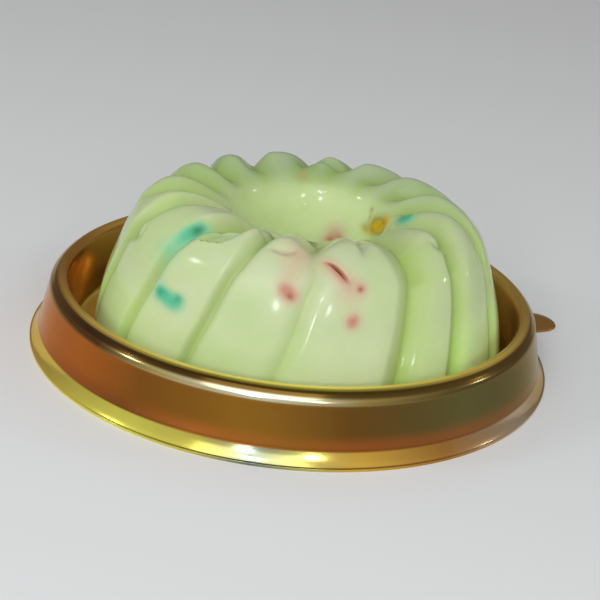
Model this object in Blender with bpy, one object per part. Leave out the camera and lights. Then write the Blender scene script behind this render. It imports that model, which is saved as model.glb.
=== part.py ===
# Broken glass cake: a moulded ring of milky green jelly with coloured jelly pieces in it,
# standing in the round gold plastic tray of a cake box.
# Metres, +Z up, front towards -Y. Azimuths are in degrees from the front towards +X.
import bpy
import bmesh
import math
from bisect import bisect_right

MM = 0.001

# Tray: half profile as (radius, height) in millimetres, upper side from the floor outwards
TRAY_SHEET = 1.2
TRAY_FLANGE_RADIUS = 125.0
TRAY_UPPER = [
    (102.6, 1.5), (104.6, 2.4), (105.4, 5.0), (107.2, 27.0), (107.8, 29.6),
    (109.1, 31.3), (110.9, 31.8), (112.6, 31.2), (113.8, 30.1), (114.8, 28.7),
    (115.7, 27.7), (116.4, 26.7), (116.8, 25.0), (120.8, 7.8), (121.4, 6.3),
    (122.2, 4.6), (123.2, 2.8), (124.2, 1.4),
]
TRAY_LOWER = [
    (123.3, 0.0), (122.2, 1.4), (121.0, 3.8), (119.7, 7.2), (115.6, 24.8), (114.5, 26.8),
    (112.2, 29.9), (110.8, 30.5), (109.2, 29.6), (106.6, 5.0), (105.5, 1.2), (102.6, 0.0),
]
TRAY_COLUMNS = 78

# Pull tab on the tray's foot flange
TAB_AZIMUTH = 114.0
TAB_REACH = 150.0
TAB_HALF_WIDTH = 11.0
TAB_ROOT_HALF_ANGLE = 8.5
TAB_COLUMNS = 14

# Jelly ring: control points of the mean half profile along its length u, millimetres.
# The hole stands a little behind the ring's own centre.
CAKE_CENTRE = (3.5, 1.6)
HOLE_SHIFT = 7.0
HOLE_SHIFT_U = (0.58, 0.72)
PROFILE_U = [0.0, 0.03, 0.14, 0.3, 0.45, 0.6, 0.72, 0.86, 1.0]
PROFILE_R = [96.2, 97.8, 95.2, 89.4, 79.6, 62.3, 40.0, 31.0, 23.0]
PROFILE_Z = [1.8, 5.4, 22.0, 42.0, 64.0, 74.2, 65.6, 32.0, 1.8]
PROFILE_ROWS = [
    0.0, 0.03, 0.08, 0.14, 0.22, 0.3, 0.37, 0.43, 0.475, 0.515, 0.545, 0.575, 0.605,
    0.635, 0.67, 0.71, 0.76, 0.83, 0.91, 1.0,
]

# Flutes of the mould: azimuths of the grooves between them at the ring's foot, how far each
# groove is pushed round where the soft jelly sagged near the crest, the width in mm of the
# flank that falls to it from the flute before it, the width in mm of the shoulder after it,
# and how much of the full depth it has on the ring's side
GROOVES = [-81.0, -55.8, -31.8, -7.2, 26.4, 45.6, 69.2, 95.0, 123.0, 149.0, 168.0, 194.0, 216.0,
           237.5, 258.5]
GROOVE_SAG = [-3.0, -0.5, -2.0, -7.0, -4.0, 5.0, 9.0, 7.0, 3.0, 0.0, 0.0, 0.0, 0.0, 0.0, -1.0]
FLANK_BEFORE = [4.5, 3.8, 3.6, 4.6, 9.0, 6.0, 6.5, 6.5, 6.0, 6.0, 6.0, 6.0, 6.0, 6.0, 6.0]
SHOULDER_AFTER = [3.6, 2.8, 2.6, 4.6, 7.0, 5.0, 4.2, 4.5, 4.5, 4.5, 4.5, 4.5, 4.5, 4.5, 4.0]
GROOVE_STRENGTH = [0.7, 0.62, 0.66, 0.36, 1.0, 1.0, 1.0, 1.0, 1.0, 1.0, 1.0, 1.0, 1.0, 1.0, 1.0]
FLANK_ROUNDING = 0.16
SHOULDER_POWER = 1.7
CREST_WIDENING = 0.45
SAG_FROM_U = 0.44
SAG_TO_U = 0.64
FLUTE_SAMPLES = [0.0, 0.055, 0.12, 0.22, 0.45, 0.66, 0.77, 0.86, 0.94]
FLUTE_MEAN = 0.76
FLUTE_DEPTH_U = [0.0, 0.15, 0.35, 0.5, 0.6, 1.0]
FLUTE_DEPTH = [3.4, 4.8, 5.8, 7.0, 7.8, 7.8]
FLUTE_END_FRONT = (0.645, 0.745)
FLUTE_END_BACK = (0.595, 0.680)
TWIST_LINEAR = 12.0
TWIST_SQUARE = 25.2

# Marks on the ring: (azimuth, u, half width in degrees, half length in u, depth in mm)
DENTS = [
    (-29.0, 0.605, 10.5, 0.075, 3.6),
    (23.6, 0.640, 4.0, 0.060, 2.6),
    (-64.0, 0.425, 5.0, 0.020, 1.2),
    (56.0, 0.535, 4.5, 0.020, 1.5),
    (-7.5, 0.580, 5.0, 0.026, -1.2),
    (3.0, 0.695, 6.0, 0.016, 1.4),
    (172.0, 0.600, 9.0, 0.030, 2.2),
]

# Coloured pieces: name, azimuth, u, half length, half width (mm), turn (degrees), depth, recess
PIECE_GAP = 0.35
PIECE_SIDES = 10
POCKET_ROOF = 1.5
PIECES = [
    ("teal_piece_streak", -45.4, 0.498, 9.0, 2.2, 74.0, 5.0, 0.3),
    ("teal_piece_bone", -40.2, 0.320, 7.6, 3.4, -8.0, 6.0, 0.3),
    ("teal_piece_crown", 85.0, 0.684, 4.6, 3.0, 20.0, 5.5, 0.2),
    ("amber_piece_lip", 111.0, 0.768, 5.8, 3.4, 12.0, 5.5, 0.2),
    ("red_piece_oval", -4.0, 0.412, 4.2, 2.6, -38.0, 5.0, 0.3),
    ("red_piece_slit", 10.8, 0.484, 6.6, 1.7, -48.0, 5.0, 1.0),
    ("red_piece_dot", 17.4, 0.435, 1.7, 1.5, 0.0, 3.0, 0.3),
    ("red_piece_small", 15.0, 0.353, 2.6, 2.0, 60.0, 4.0, 0.2),
    ("red_piece_lip", 20.0, 0.660, 4.6, 2.2, 14.0, 4.0, 0.2),
    ("amber_piece_side", 121.0, 0.300, 6.0, 4.2, 35.0, 6.0, 0.2),
    ("red_piece_back_high", 150.0, 0.470, 5.6, 3.4, -25.0, 6.0, 0.2),
    ("teal_piece_back", 167.0, 0.330, 6.8, 3.8, 15.0, 6.0, 0.2),
    ("amber_piece_back", -165.0, 0.480, 5.0, 3.6, 50.0, 5.5, 0.2),
    ("red_piece_back_low", -128.5, 0.250, 5.6, 3.8, -60.0, 6.0, 0.2),
    ("teal_piece_left", -102.0, 0.430, 5.8, 3.2, 40.0, 5.5, 0.2),
    ("amber_piece_left", -87.0, 0.240, 5.0, 3.6, -20.0, 5.5, 0.2),
]

COLOURS = {
    "jelly": (0.46, 0.58, 0.25, 1.0),
    "gold": (0.55, 0.36, 0.08, 1.0),
    "teal": (0.03, 0.42, 0.26, 1.0),
    "amber": (0.45, 0.26, 0.02, 1.0),
    "red": (0.55, 0.08, 0.06, 1.0),
}


def clear_scene():
    for obj in list(bpy.data.objects):
        bpy.data.objects.remove(obj, do_unlink=True)


def make_material(name, rgba, metallic, roughness):
    mat = bpy.data.materials.new(name)
    mat.use_nodes = True
    shader = mat.node_tree.nodes["Principled BSDF"]
    shader.inputs["Base Color"].default_value = rgba
    shader.inputs["Metallic"].default_value = metallic
    shader.inputs["Roughness"].default_value = roughness
    mat.diffuse_color = rgba
    return mat


def make_object(name, verts, faces, mat):
    mesh = bpy.data.meshes.new(name)
    mesh.from_pydata(verts, [], faces)
    bm = bmesh.new()
    bm.from_mesh(mesh)
    bmesh.ops.recalc_face_normals(bm, faces=bm.faces)
    bm.to_mesh(mesh)
    bm.free()
    for poly in mesh.polygons:
        poly.use_smooth = True
    obj = bpy.data.objects.new(name, mesh)
    bpy.context.scene.collection.objects.link(obj)
    if mat:
        mesh.materials.append(mat)
    return obj


# Smooth curve through control points that keeps their rise and fall
def curve(xs, ys, x):
    n = len(xs)
    x = min(max(x, xs[0]), xs[-1])
    i = min(max(bisect_right(xs, x) - 1, 0), n - 2)
    h = [xs[k + 1] - xs[k] for k in range(n - 1)]
    d = [(ys[k + 1] - ys[k]) / h[k] for k in range(n - 1)]

    def slope(k):
        if k == 0:
            return d[0]
        if k == n - 1:
            return d[-1]
        if d[k - 1] * d[k] <= 0.0:
            return 0.0
        w1 = 2 * h[k] + h[k - 1]
        w2 = h[k] + 2 * h[k - 1]
        return (w1 + w2) / (w1 / d[k - 1] + w2 / d[k])

    t = (x - xs[i]) / h[i]
    m0, m1 = slope(i) * h[i], slope(i + 1) * h[i]
    return ((2 * t ** 3 - 3 * t ** 2 + 1) * ys[i] + (t ** 3 - 2 * t ** 2 + t) * m0
            + (-2 * t ** 3 + 3 * t ** 2) * ys[i + 1] + (t ** 3 - t ** 2) * m1)


def profile_point(u):
    return curve(PROFILE_U, PROFILE_R, u), curve(PROFILE_U, PROFILE_Z, u)


# Outward unit normal of the mean half profile
def profile_normal(u):
    a, b = max(u - 0.004, 0.0), min(u + 0.004, 1.0)
    r0, z0 = profile_point(a)
    r1, z1 = profile_point(b)
    length = math.hypot(r1 - r0, z1 - z0)
    return (z1 - z0) / length, -(r1 - r0) / length, length / (b - a)


def smooth(a, b, x):
    t = min(max((x - a) / (b - a), 0.0), 1.0)
    return t * t * (3.0 - 2.0 * t)


# Azimuth of groove k at a place u along the profile; k runs on past one full turn
def groove_azimuth(k, u):
    turns, i = divmod(k, len(GROOVES))
    sag = GROOVE_SAG[i] * smooth(SAG_FROM_U, SAG_TO_U, u)
    return GROOVES[i] + 360.0 * turns + sag + TWIST_LINEAR * u + TWIST_SQUARE * u * u


# Height of the flute at an azimuth: 0 in a groove, nearly 1 on its face
def flute_height(azimuth, u):
    first = groove_azimuth(0, u)
    azimuth = first + (azimuth - first) % 360.0
    for k in range(len(GROOVES)):
        lo, hi = groove_azimuth(k, u), groove_azimuth(k + 1, u)
        if azimuth <= hi:
            break
    widen = 1.0 + CREST_WIDENING * smooth(0.40, 0.58, u)
    r, _ = profile_point(u)
    n = (k + 1) % len(GROOVES)
    after = max(math.radians(azimuth - lo), 0.0) * r / (SHOULDER_AFTER[k] * widen)
    before = math.radians(hi - azimuth) * r / (FLANK_BEFORE[n] * widen)
    shoulder = math.exp(-after ** SHOULDER_POWER)
    flank = 0.5 * (1.0 - before + math.hypot(1.0 - before, FLANK_ROUNDING))
    crest = smooth(0.50, 0.67, u)
    shoulder *= GROOVE_STRENGTH[k] + (1.0 - GROOVE_STRENGTH[k]) * crest
    flank *= GROOVE_STRENGTH[n] + (1.0 - GROOVE_STRENGTH[n]) * crest
    return max(1.0 - shoulder - flank, 0.0)


# Depth of the flutes in mm: they run out at the lip of the hole, earlier at the back
def flute_depth(azimuth, u):
    back = (0.5 - 0.5 * math.cos(math.radians(azimuth))) ** 5
    a, b = (f + (e - f) * back for f, e in zip(FLUTE_END_FRONT, FLUTE_END_BACK))
    return curve(FLUTE_DEPTH_U, FLUTE_DEPTH, u) * (1.0 - smooth(a, b, u))


def angle_between(a, b):
    return (a - b + 180.0) % 360.0 - 180.0


def dent_depth(azimuth, u):
    total = 0.0
    for a, c, half_a, half_u, depth in DENTS:
        q = (angle_between(azimuth, a) / half_a) ** 2 + ((u - c) / half_u) ** 2
        total += depth * math.exp(-q * q)
    return total


# Point of the ring's surface at an azimuth and a place u along the profile, millimetres
def cake_point(azimuth, u):
    r, z = profile_point(u)
    nr, nz, _ = profile_normal(u)
    rise = (flute_height(azimuth, u) - FLUTE_MEAN) * flute_depth(azimuth, u)
    rise -= dent_depth(azimuth, u)
    if u <= 0.0 or u >= 1.0:
        nr, nz = math.copysign(1.0, nr), 0.0
    r, z = r + nr * rise, z + nz * rise
    a = math.radians(azimuth)
    shift = HOLE_SHIFT * smooth(*HOLE_SHIFT_U, u)
    return CAKE_CENTRE[0] + r * math.sin(a), CAKE_CENTRE[1] + shift - r * math.cos(a), z


def scaled(points):
    return [(x * MM, y * MM, z * MM) for x, y, z in points]


def build_cake(mat):
    verts = []
    for u in PROFILE_ROWS:
        for k in range(len(GROOVES)):
            lo, hi = groove_azimuth(k, u), groove_azimuth(k + 1, u)
            verts += [cake_point(lo + (hi - lo) * t, u) for t in FLUTE_SAMPLES]
    columns, rows = len(GROOVES) * len(FLUTE_SAMPLES), len(PROFILE_ROWS)
    faces = []
    for i in range(rows):
        for j in range(columns):
            m, n = (i + 1) % rows, (j + 1) % columns
            faces.append((i * columns + j, i * columns + n, m * columns + n, m * columns + j))
    return make_object("jelly_ring", scaled(verts), faces, mat)


# Outline of a coloured piece in its own plane, millimetres
def piece_outline(half_length, half_width, turn, grow):
    ring = []
    ca, sa = math.cos(math.radians(turn)), math.sin(math.radians(turn))
    for k in range(PIECE_SIDES):
        t = 2 * math.pi * k / PIECE_SIDES
        c, s = math.cos(t), math.sin(t)
        x = (half_length + grow) * math.copysign(abs(c) ** 0.8, c)
        y = (half_width + grow) * math.copysign(abs(s) ** 0.8, s)
        ring.append((x * ca - y * sa, x * sa + y * ca))
    return ring


# Rings of a piece from its face on the ring's surface down into the jelly. The pocket is
# the same body grown by the gap, with a flat face above the jelly.
def piece_body(spec, pocket):
    _, azimuth, u, half_length, half_width, turn, depth, recess = spec
    grow = PIECE_GAP if pocket else 0.0
    r, _ = profile_point(u)
    nr, nz, stretch = profile_normal(u)
    sa, ca = math.sin(math.radians(azimuth)), math.cos(math.radians(azimuth))
    around, along = (ca, sa, 0.0), (-nz * sa, nz * ca, nr)
    normal = (nr * sa, -nr * ca, nz)
    centre = cake_point(azimuth, u)

    def height(x, y):
        p = cake_point(azimuth + math.degrees(x / r), u + y / stretch)
        return sum((p[i] - centre[i]) * normal[i] for i in range(3))

    def place(x, y, h):
        return tuple(centre[i] + around[i] * x + along[i] * y + normal[i] * h for i in range(3))

    outline = piece_outline(half_length, half_width, turn, grow)
    bare = piece_outline(half_length, half_width, turn, 0.0)
    heights = [height(x * k, y * k) for k in (0.0, 0.5, 1.0) for x, y in bare]
    waist = min(heights) - depth * 0.5
    floor = min(heights) - depth - grow
    roof = max(heights) + POCKET_ROOF
    layers = [(0.0, None), (0.55, None), (1.0, None), (1.0, waist), (0.8, floor), (0.0, floor)]
    verts, rings = [], []
    for scale, level in layers:
        ring = []
        for x, y in (outline if scale > 0.0 else [(0.0, 0.0)]):
            x, y = x * scale, y * scale
            top = roof if pocket else height(x, y) - recess
            ring.append(len(verts))
            verts.append(place(x, y, top if level is None else level))
        rings.append(ring)
    faces = []
    for upper, lower in zip(rings, rings[1:]):
        for k in range(PIECE_SIDES):
            n = (k + 1) % PIECE_SIDES
            if len(upper) == 1:
                faces.append((upper[0], lower[k], lower[n]))
            elif len(lower) == 1:
                faces.append((upper[k], lower[0], upper[n]))
            else:
                faces.append((upper[k], lower[k], lower[n], upper[n]))
    return verts, faces


def build_pieces(mats):
    for spec in PIECES:
        verts, faces = piece_body(spec, False)
        make_object(spec[0], scaled(verts), faces, mats[spec[0].split("_")[0]])


# Pockets in the jelly that hold the coloured pieces with a small gap around them
def cut_pockets(cake):
    verts, faces = [], []
    for spec in PIECES:
        v, f = piece_body(spec, True)
        faces += [tuple(i + len(verts) for i in face) for face in f]
        verts += v
    cutter = make_object("pocket_cutter", scaled(verts), faces, None)
    cutter.hide_render = True
    cutter.display_type = "WIRE"
    cut = cake.modifiers.new("pockets", "BOOLEAN")
    cut.operation = "DIFFERENCE"
    cut.solver = "EXACT"
    cut.object = cutter


def tray_azimuths():
    edge = TAB_ROOT_HALF_ANGLE
    tab = [TAB_AZIMUTH - edge + 2 * edge * k / TAB_COLUMNS for k in range(TAB_COLUMNS + 1)]
    rest = TRAY_COLUMNS - TAB_COLUMNS
    span = 360.0 - 2 * edge
    return tab + [TAB_AZIMUTH + edge + span * k / rest for k in range(1, rest)]


# Outer edge of the flange in one column; the first columns follow the pull tab's outline
def flange_edge(column, azimuth):
    a = math.radians(azimuth)
    x, y = TRAY_FLANGE_RADIUS * math.sin(a), -TRAY_FLANGE_RADIUS * math.cos(a)
    if 0 < column < TAB_COLUMNS:
        s = abs(2.0 * column / TAB_COLUMNS - 1.0)
        side = math.copysign(1.0, column - TAB_COLUMNS / 2)
        if s > 0.84:
            across, reach = TAB_HALF_WIDTH + 1.6, TRAY_FLANGE_RADIUS + 1.8
        elif s > 0.7:
            across, reach = TAB_HALF_WIDTH, TRAY_FLANGE_RADIUS + 6.0
        else:
            turn = math.pi / 2 * s / 0.7
            shoulder = TRAY_FLANGE_RADIUS + 12.5
            across = TAB_HALF_WIDTH * math.sin(turn) ** 0.9
            reach = shoulder + (TAB_REACH - shoulder) * math.cos(turn) ** 0.8
        t = math.radians(TAB_AZIMUTH)
        across *= side
        x = reach * math.sin(t) + across * math.cos(t)
        y = -reach * math.cos(t) + across * math.sin(t)
    return x, y


def build_tray(mat):
    azimuths = tray_azimuths()
    columns = len(azimuths)
    verts, rings = [], []

    def add_ring(points):
        rings.append(range(len(verts), len(verts) + len(points)))
        verts.extend(points)

    def circle(r, z):
        return [(r * math.sin(math.radians(a)), -r * math.cos(math.radians(a)), z) for a in azimuths]

    edge = [flange_edge(j, a) for j, a in enumerate(azimuths)]
    for r, z in TRAY_UPPER:
        add_ring(circle(r, z))
    add_ring([(x, y, TRAY_SHEET) for x, y in edge])
    add_ring([(x, y, 0.0) for x, y in edge])
    for r, z in TRAY_LOWER:
        add_ring(circle(r, z))
    faces = []
    for upper, lower in zip(rings, rings[1:]):
        for j in range(columns):
            n = (j + 1) % columns
            faces.append((upper[j], upper[n], lower[n], lower[j]))
    faces.append(tuple(rings[0]))
    faces.append(tuple(rings[-1]))
    return make_object("cake_tray", scaled(verts), faces, mat)


def main():
    clear_scene()
    mats = {
        "jelly": make_material("jelly", COLOURS["jelly"], 0.0, 0.25),
        "gold": make_material("gold", COLOURS["gold"], 0.9, 0.25),
        "teal": make_material("teal", COLOURS["teal"], 0.0, 0.2),
        "amber": make_material("amber", COLOURS["amber"], 0.0, 0.2),
        "red": make_material("red", COLOURS["red"], 0.0, 0.2),
    }
    build_tray(mats["gold"])
    cake = build_cake(mats["jelly"])
    build_pieces(mats)
    cut_pockets(cake)


main()
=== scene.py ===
import bpy
import math
import numpy as np
from mathutils import Matrix, Vector


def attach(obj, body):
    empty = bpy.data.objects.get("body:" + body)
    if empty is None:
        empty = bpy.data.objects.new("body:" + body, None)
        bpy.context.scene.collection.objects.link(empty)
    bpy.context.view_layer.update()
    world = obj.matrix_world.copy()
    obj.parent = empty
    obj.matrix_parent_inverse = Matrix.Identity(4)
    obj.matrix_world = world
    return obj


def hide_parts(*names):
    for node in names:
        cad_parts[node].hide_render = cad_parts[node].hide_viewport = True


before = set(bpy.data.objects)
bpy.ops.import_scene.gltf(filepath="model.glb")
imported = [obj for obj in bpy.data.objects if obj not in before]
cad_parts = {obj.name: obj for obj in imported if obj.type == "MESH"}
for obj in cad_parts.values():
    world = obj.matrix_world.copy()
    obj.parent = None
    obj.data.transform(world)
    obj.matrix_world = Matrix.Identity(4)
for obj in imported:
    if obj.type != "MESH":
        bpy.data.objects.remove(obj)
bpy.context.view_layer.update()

MM = 0.001

# Camera of the photograph, whose frame is taken as 600 px
FRAME_PX = 600.0
FOCAL_PX = 1400.0
CAMERA_PITCH = math.radians(23.08)
CAMERA_ROLL = math.radians(6.396)
CAMERA_DISTANCE = 0.686064
TRAY_CENTRE_PX = (289.137, 341.012)
SENSOR_MM = 36.0
CLIP_NEAR = 0.01
CLIP_FAR = 50.0

# Tray half profile as radius and height in millimetres, as in the solid
TRAY_SHEET = 1.2
TRAY_FLANGE_RADIUS = 125.0
TRAY_UPPER = [
    (102.6, 1.5), (104.6, 2.4), (105.4, 5.0), (107.2, 27.0), (107.8, 29.6),
    (109.1, 31.3), (110.9, 31.8), (112.6, 31.2), (113.9, 30.2), (115.0, 29.0),
    (115.9, 27.9), (116.4, 26.8), (116.8, 25.0), (118.8, 16.4), (120.1, 10.8), (120.8, 7.8),
    (121.4, 6.3), (122.2, 4.6), (123.2, 2.8), (124.2, 1.4),
]
TRAY_LOWER = [
    (123.3, 0.0), (122.2, 1.4), (121.0, 3.8), (119.7, 7.2), (115.6, 24.8), (114.5, 26.8),
    (112.2, 29.9), (110.8, 30.5), (109.2, 29.6), (106.6, 5.0), (105.5, 1.2), (102.6, 0.0),
]
TRAY_COLUMNS = 300
TAB_AZIMUTH = 114.0
TAB_REACH = 150.0
TAB_HALF_WIDTH = 11.0
TAB_ROOT_HALF_ANGLE = 8.5
TAB_COLUMNS = 48
# The tab's outline: its root is a flare, its end a rounded tongue
TAB_ROOT_SHARE = 0.6
TAB_ROOT_LENGTH = 12.5
TAB_ROOT_FLARE = 6.2
TAB_ROOT_POWERS = (4, 1.6)
TAB_TONGUE_POWERS = (0.9, 0.8)
# Columns of the tab beside its root that keep the flange's colour
TAB_BORDER_COLUMNS = 2
TRAY_UPPER_STEPS = 6
TRAY_LOWER_STEPS = 2
# A stretch of the profile over this length in mm stays straight
STRAIGHT_OVER = 8.0
# Rows from the upper sheet over the flange's edge: share of the way out, and height
FLANGE_ROWS = [
    (0.5, TRAY_SHEET), (0.85, TRAY_SHEET), (0.99, TRAY_SHEET - 0.1),
    (1.0, TRAY_SHEET * 0.6), (1.0, 0.15), (0.98, 0.0),
]

# Jelly ring, as in the solid. Its half profile runs by u from the foot (0) over the crest and
# down the hole (1). Azimuths are in degrees from the front towards the right.
CAKE_CENTRE = (3.5, 1.6)
HOLE_SHIFT = 7.0
HOLE_SHIFT_U = (0.58, 0.72)
PROFILE_U = [0.0, 0.03, 0.14, 0.3, 0.45, 0.6, 0.72, 0.86, 1.0]
PROFILE_R = [96.2, 97.8, 95.2, 89.4, 79.6, 62.3, 40.0, 31.0, 23.0]
PROFILE_Z = [1.8, 5.4, 22.0, 42.0, 64.0, 74.2, 65.6, 32.0, 1.8]
# For each groove: azimuth at the foot, extra turn at the crest in degrees, width in mm of the
# flank before it and of the shoulder after it, and strength on the sides
GROOVES = [-81.0, -55.8, -31.8, -7.2, 26.4, 45.6, 69.2, 95.0, 123.0, 149.0, 168.0, 194.0, 216.0,
           237.5, 258.5]
GROOVE_SAG = [-3.0, -0.5, -2.0, -7.0, -4.0, 5.0, 9.0, 7.0, 3.0, 0.0, 0.0, 0.0, 0.0, 0.0, -1.0]
FLANK_BEFORE = [4.5, 3.8, 3.6, 4.6, 9.0, 6.0, 6.5, 6.5, 6.0, 6.0, 6.0, 6.0, 6.0, 6.0, 6.0]
SHOULDER_AFTER = [3.6, 2.8, 2.6, 4.6, 7.0, 5.0, 4.2, 4.5, 4.5, 4.5, 4.5, 4.5, 4.5, 4.5, 4.0]
GROOVE_STRENGTH = [0.7, 0.62, 0.66, 0.36, 1.0, 1.0, 1.0, 1.0, 1.0, 1.0, 1.0, 1.0, 1.0, 1.0, 1.0]
FLANK_ROUNDING = 0.16
SOFT_GROOVE = 3
SOFT_GROOVE_ROUNDING = 0.5
SHOULDER_POWER = 1.7
CREST_WIDENING = 0.45
WIDENING_U = (0.40, 0.58)
FULL_GROOVE_U = (0.50, 0.67)
SAG_FROM_U = 0.44
SAG_TO_U = 0.64
FLUTE_MEAN = 0.76
FLUTE_DEPTH_U = [0.0, 0.15, 0.35, 0.5, 0.6, 1.0]
FLUTE_DEPTH = [3.4, 4.8, 5.8, 7.0, 7.8, 7.8]
FLUTE_END_FRONT = (0.645, 0.745)
FLUTE_END_BACK = (0.595, 0.680)
FLUTE_END_POWER = 5
TWIST_LINEAR = 12.0
TWIST_SQUARE = 25.2
NORMAL_STEP = 0.004

# Samples across each lobe: many where the photograph shows small marks
LOBE_SAMPLES = [30, 34, 34, 72, 30, 26, 22, 16, 16, 16, 16, 16, 16, 16, 22]
ROW_STEPS = [(0.0, 0.30, 34), (0.30, 0.44, 30), (0.44, 0.53, 60), (0.53, 0.68, 54),
             (0.68, 0.80, 22), (0.80, 1.0, 22)]
# How far the samples across a lobe crowd towards its grooves
SAMPLE_CROWDING = 0.048


def curve(xs, ys, x):
    """Monotone cubic through control points, for arrays."""
    xs, ys, x = np.asarray(xs, float), np.asarray(ys, float), np.asarray(x, float)
    x = np.clip(x, xs[0], xs[-1])
    h = np.diff(xs)
    d = np.diff(ys) / h
    m = np.empty(len(xs))
    m[0], m[-1] = d[0], d[-1]
    for k in range(1, len(xs) - 1):
        if d[k - 1] * d[k] <= 0:
            m[k] = 0.0
        else:
            w1, w2 = 2 * h[k] + h[k - 1], h[k] + 2 * h[k - 1]
            m[k] = (w1 + w2) / (w1 / d[k - 1] + w2 / d[k])
    i = np.clip(np.searchsorted(xs, x, side="right") - 1, 0, len(xs) - 2)
    t = (x - xs[i]) / h[i]
    return ((2 * t ** 3 - 3 * t ** 2 + 1) * ys[i] + (t ** 3 - 2 * t ** 2 + t) * m[i] * h[i]
            + (-2 * t ** 3 + 3 * t ** 2) * ys[i + 1] + (t ** 3 - t ** 2) * m[i + 1] * h[i])


def smooth(a, b, x):
    """0 at a, 1 at b, with soft ends."""
    t = np.clip((x - a) / (b - a), 0.0, 1.0)
    return t * t * (3.0 - 2.0 * t)


def profile(u):
    """Radius and height of the ring without its flutes."""
    return curve(PROFILE_U, PROFILE_R, u), curve(PROFILE_U, PROFILE_Z, u)


def profile_normal(u):
    """Outward normal of the half profile, and its length in mm for one of u."""
    a, b = np.maximum(u - NORMAL_STEP, 0.0), np.minimum(u + NORMAL_STEP, 1.0)
    r0, z0 = profile(a)
    r1, z1 = profile(b)
    length = np.hypot(r1 - r0, z1 - z0)
    return (z1 - z0) / length, -(r1 - r0) / length, length / (b - a)


def groove_azimuth(k, u):
    """Azimuth of a groove, which swirls as it climbs."""
    k = np.asarray(k)
    turns, i = np.divmod(k, len(GROOVES))
    sag = np.asarray(GROOVE_SAG)[i] * smooth(SAG_FROM_U, SAG_TO_U, u)
    return np.asarray(GROOVES)[i] + 360.0 * turns + sag + TWIST_LINEAR * u + TWIST_SQUARE * u * u


def lobe_place(azimuth, u):
    """Number of the lobe at an azimuth, and how far across it, 0 to 1."""
    azimuth, u = np.broadcast_arrays(np.asarray(azimuth, float), np.asarray(u, float))
    first = groove_azimuth(0, u)
    azimuth = first + (azimuth - first) % 360.0
    k = np.zeros(azimuth.shape, int)
    for n in range(1, len(GROOVES)):
        k = np.where(azimuth >= groove_azimuth(n, u), n, k)
    lo, hi = groove_azimuth(k, u), groove_azimuth(k + 1, u)
    return k, np.clip((azimuth - lo) / (hi - lo), 0.0, 1.0)


def angle_between(a, b):
    return (a - b + 180.0) % 360.0 - 180.0


# Marks: azimuth and u of the middle, half sizes in the same units, depth in mm
SOFT_DENTS = [
    (56.0, 0.535, 4.5, 0.020, 0.8),
    (172.0, 0.600, 9.0, 0.030, 2.2),
]
# Softer ones, of the same form
ROUND_DENTS = [
    (-7.5, 0.578, 5.2, 0.030, -1.3),
    (-8.0, 0.540, 5.5, 0.012, 0.8),
    (-20.2, 0.688, 4.2, 0.012, 2.2),
    (3.0, 0.696, 6.0, 0.018, 2.2),
    (24.0, 0.672, 4.0, 0.024, 2.2),
]
# A second valley on the top of one lobe: its azimuth along u, depth and half width in mm
VALLEY_U = [0.50, 0.53, 0.565, 0.605, 0.635, 0.72]
VALLEY_AZIMUTH = [19.6, 20.4, 21.2, 22.0, 22.6, 24.0]
VALLEY_DEPTH = 3.2
VALLEY_LEFT = 1.8
VALLEY_RIGHT = 5.0
VALLEY_START_U = (0.51, 0.62)
VALLEY_END_U = (0.70, 0.75)
VALLEY_POWER = 1.7
# Low ledges torn in two lobes: azimuth and u of points along each edge, drop in mm, fade along u
LEDGES = [
    ([-78.0, -70.0, -64.5, -63.0], [0.352, 0.378, 0.404, 0.425], 2.0, 0.06),
    ([51.6, 53.4, 57.0, 62.0], [0.572, 0.530, 0.512, 0.500], 1.5, 0.05),
]
LEDGE_START = 3.0
LEDGE_END = 1.5
LEDGE_STEP_U = 0.009
LEDGE_FADE_U = 0.01
# The collapsed top of one lobe: its front edge as azimuth and u, with two ragged waves
HOLLOW_LOBE = 1
HOLLOW_DEPTH = 5.0
HOLLOW_EDGE_AZIMUTH = [-40.0, -37.2, -30.0, -26.5, -24.0]
HOLLOW_EDGE_U = [0.498, 0.500, 0.516, 0.556, 0.62]
HOLLOW_WAVES = [(0.003, 1.9, 0.0), (0.002, 4.7, 1.0)]
HOLLOW_LEFT_T = (0.02, 0.18)
HOLLOW_RIGHT_T = (0.88, 0.99)
HOLLOW_STEP_U = 0.016
HOLLOW_BACK_U = (0.60, 0.73)
FOLD_U = 0.598
FOLD_SLOPE = 0.0016
FOLD_AZIMUTH = -34.0
FOLD_HEIGHT = 1.3
FOLD_HALF_U = 0.013
SLIT_FROM = (6.0, 0.529)
SLIT_TO = (13.8, 0.453)
SLIT_DEPTH = 3.0
SLIT_HALF_WIDTH = 0.75
SLIT_BEND = 1.3
SLIT_POINTED = 0.35
SLIT_POINTED_PLACE = (-1.0, 0.2)
SLIT_RADIUS = 75.0
SLIT_STRETCH = 134.0
SLIT_LIP = 0.10
SLIT_LIP_PLACE = 1.7
SLIT_LIP_WIDTH = 1.5


def slit_place(azimuth, u):
    """Place along the slit (-1 to 1) and distance across it in mm, upwards positive."""
    mid = ((SLIT_FROM[0] + SLIT_TO[0]) / 2, (SLIT_FROM[1] + SLIT_TO[1]) / 2)
    half_x = math.radians(SLIT_TO[0] - mid[0]) * SLIT_RADIUS
    half = np.array([half_x, (SLIT_TO[1] - mid[1]) * SLIT_STRETCH])
    x = np.radians(angle_between(azimuth, mid[0])) * SLIT_RADIUS
    y = (u - mid[1]) * SLIT_STRETCH
    length = math.hypot(*half)
    p = (x * half[0] + y * half[1]) / length ** 2
    bend = SLIT_BEND * (1.0 - p * p)
    return p, (-x * half[1] + y * half[0]) / length - bend


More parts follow.
